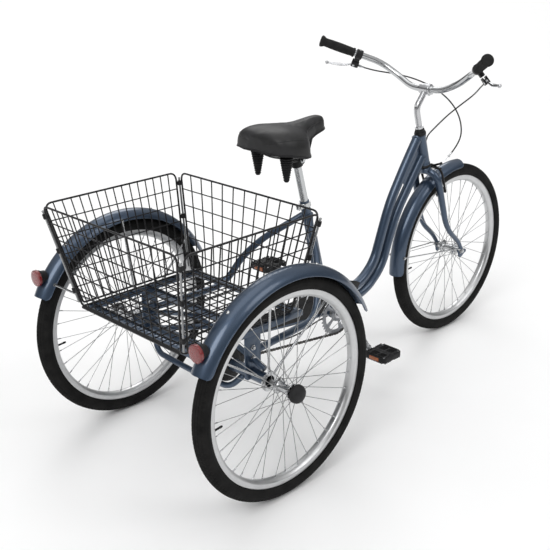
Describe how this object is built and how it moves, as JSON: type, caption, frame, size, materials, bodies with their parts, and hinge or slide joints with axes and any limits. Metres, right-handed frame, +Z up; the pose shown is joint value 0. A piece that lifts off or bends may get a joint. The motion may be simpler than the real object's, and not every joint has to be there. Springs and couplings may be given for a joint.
{
  "type": "adult tricycle",
  "caption": "Step-through adult tricycle: one steered wheel in front, two wheels on a split rear axle, chain drive, fenders, sprung saddle and a wire basket.",
  "frame": {"origin": "on the floor, below the middle of the overall box", "axes": "+X forward, +Y to the rider's left, +Z up"},
  "size_m": [1.9338, 0.856, 1.1436],
  "materials": {
    "frame_paint": "metallic slate blue, semi-gloss",
    "tyre_rubber": "matte black",
    "rim_alloy": "brushed",
    "steel_wire": "bright",
    "bright_steel": "polished",
    "alloy": "satin polished",
    "black_metal": "satin black",
    "basket_black": "gloss black dip coat",
    "black_plastic": "matte",
    "cable_black": "satin",
    "grip_rubber": "ribbed matte",
    "saddle_vinyl": "smooth satin vinyl",
    "red_lens": "gloss",
    "bearing_steel": "ground",
    "chain_steel": "oiled",
    "ring_steel": "satin grey"
  },
  "bodies": {
    "frame": {"head_tube": "frame_paint", "headset_cups": "black_metal", "upper_main_tube": "frame_paint", "lower_main_tube": "frame_paint", "bottom_bracket_shell": "frame_paint", "bottom_bracket_bearings": "bearing_steel", "seat_tube": "frame_paint", "seat_clamp": "alloy", "seat_stays": "frame_paint", "axle_carrier": "frame_paint", "axle_bearings": "bearing_steel", "band_brake_housing": "black_metal", "chain_guard": "black_plastic", "drive_chain": "chain_steel", "right_fender": "frame_paint", "left_fender": "frame_paint", "fender_stays": "bright_steel", "rear_reflectors": "red_lens", "basket_floor": "basket_black", "basket_side_panels": "basket_black", "basket_end_panels": "basket_black", "basket_corner_posts": "black_metal", "rear_brake_cable_lower": "cable_black"},
    "saddle": {"seat_post": "alloy", "saddle_rails": "bright_steel", "saddle_base": "black_plastic", "saddle_cushion": "saddle_vinyl", "saddle_springs": "black_metal"},
    "steering": {"fork": "frame_paint", "front_axle": "bright_steel", "stem": "alloy", "handlebar": "alloy", "grips": "grip_rubber", "brake_lever_brackets": "black_plastic", "front_fender": "frame_paint", "front_brake_cable": "cable_black", "rear_brake_cable_upper": "cable_black"},
    "front_wheel": {"front_tyre": "tyre_rubber", "front_rim": "rim_alloy", "front_spokes": "steel_wire", "front_hub": "bright_steel"},
    "right_wheel": {"right_tyre": "tyre_rubber", "right_rim": "rim_alloy", "right_spokes": "steel_wire", "right_hub": "bright_steel", "drive_axle": "bearing_steel"},
    "left_wheel": {"left_tyre": "tyre_rubber", "left_rim": "rim_alloy", "left_spokes": "steel_wire", "left_hub": "bright_steel", "left_axle": "bearing_steel"},
    "crankset": {"chainring": "ring_steel", "crank_arms": "bright_steel"},
    "sprocket": {"axle_sprocket": "ring_steel"},
    "right_pedal": {"right_pedal": "black_plastic"},
    "left_pedal": {"left_pedal": "black_plastic"},
    "right_lever": {"right_brake_lever": "alloy"},
    "left_lever": {"left_brake_lever": "alloy"},
    "right_caliper": {"right_caliper_arm": "black_metal"},
    "left_caliper": {"left_caliper_arm": "black_metal"}
  },
  "joints": [
    {"name": "steer", "type": "hinge", "parent": "frame", "child": "steering", "pos_m": [0.455, 0, 0.685], "axis": [-0.2924, 0, 0.9563], "range_deg": [-60, 60]},
    {"name": "front_wheel_spin", "type": "hinge", "parent": "steering", "child": "front_wheel", "pos_m": [0.637, 0, 0.33], "axis": [0, 1, 0], "continuous": true},
    {"name": "right_wheel_spin", "type": "hinge", "parent": "frame", "child": "right_wheel", "pos_m": [-0.637, -0.366, 0.33], "axis": [0, 1, 0], "continuous": true},
    {"name": "left_wheel_spin", "type": "hinge", "parent": "frame", "child": "left_wheel", "pos_m": [-0.637, 0.366, 0.33], "axis": [0, 1, 0], "continuous": true},
    {"name": "crank_spin", "type": "hinge", "parent": "frame", "child": "crankset", "pos_m": [-0.072, 0, 0.285], "axis": [0, 1, 0], "continuous": true},
    {"name": "sprocket_spin", "type": "hinge", "parent": "frame", "child": "sprocket", "pos_m": [-0.637, -0.052, 0.33], "axis": [0, 1, 0], "continuous": true},
    {"name": "right_pedal_spin", "type": "hinge", "parent": "crankset", "child": "right_pedal", "pos_m": [0.02306, -0.18, 0.14406], "axis": [0, 1, 0], "continuous": true},
    {"name": "left_pedal_spin", "type": "hinge", "parent": "crankset", "child": "left_pedal", "pos_m": [-0.16706, 0.18, 0.42594], "axis": [0, 1, 0], "continuous": true},
    {"name": "saddle_height", "type": "slide", "parent": "frame", "child": "saddle", "axis": [-0.258, 0, 0.9662], "range_m": [-0.06, 0.08]},
    {"name": "right_lever_pull", "type": "hinge", "parent": "steering", "child": "right_lever", "pos_m": [0.3757, -0.28499, 1.03554], "axis": [0.7181, -0.4438, 0.536], "range_deg": [-14, 0], "stiffness_Nm_per_rad": 0.6},
    {"name": "left_lever_pull", "type": "hinge", "parent": "steering", "child": "left_lever", "pos_m": [0.3757, 0.28499, 1.03554], "axis": [-0.7181, -0.4438, -0.536], "range_deg": [-14, 0], "stiffness_Nm_per_rad": 0.6},
    {"name": "right_caliper_close", "type": "hinge", "parent": "steering", "child": "right_caliper", "pos_m": [0.49065, 0, 0.68126], "axis": [0.9563, 0, 0.2924], "range_deg": [-2.2, 2.2]},
    {"name": "left_caliper_close", "type": "hinge", "parent": "steering", "child": "left_caliper", "pos_m": [0.49065, 0, 0.68126], "axis": [0.9563, 0, 0.2924], "range_deg": [-2.2, 2.2]}
  ],
  "couplings": [
    {"joint": "sprocket_spin", "follows": "crank_spin", "ratio": 1.8},
    {"joint": "right_caliper_close", "follows": "left_lever_pull", "ratio": -0.14},
    {"joint": "left_caliper_close", "follows": "left_lever_pull", "ratio": 0.14}
  ]
}
